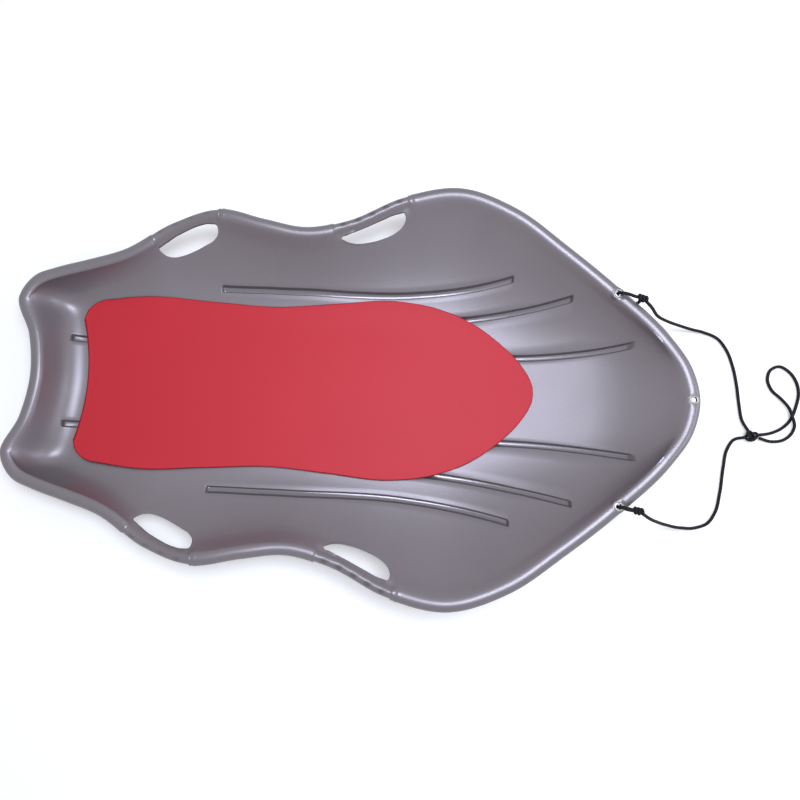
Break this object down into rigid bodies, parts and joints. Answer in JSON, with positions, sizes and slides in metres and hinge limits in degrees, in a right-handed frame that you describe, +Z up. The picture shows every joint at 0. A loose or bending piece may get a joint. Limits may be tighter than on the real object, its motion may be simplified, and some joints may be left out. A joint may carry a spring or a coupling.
{
  "type": "snow boat sled",
  "caption": "Boat-shaped moulded plastic snow sled with a rolled rim, hand slots, pressed runners, a foam seat pad, metal eyelets and a tied tow rope with a hand loop",
  "frame": {"origin": "on the ground, under the middle of the hull's outline seen from above", "axes": "+X to the nose, +Y to the rider's left, +Z up; the hull's two sides mirror in y = 0"},
  "size_m": [1.4799, 0.75, 0.1446],
  "materials": {
    "silver_plastic": "silver-grey moulded plastic",
    "red_foam": "matte closed-cell foam",
    "bright_metal": "bright plated metal",
    "black_rope": "braided synthetic cord"
  },
  "bodies": {
    "root": {"hull_shell": "silver_plastic", "seat_pad": "red_foam", "eyelet_left": "bright_metal", "eyelet_right": "bright_metal", "eyelet_nose": "bright_metal", "washer_left": "bright_metal", "washer_right": "bright_metal", "washer_nose": "bright_metal", "rope_eye_loop_left": "black_rope", "rope_eye_loop_right": "black_rope", "rope_tie_knot_left": "black_rope", "rope_tie_knot_right": "black_rope", "rope_leg_left": "black_rope", "rope_leg_right": "black_rope", "rope_centre_knot": "black_rope", "rope_hand_loop": "black_rope"}
  },
  "joints": []
}
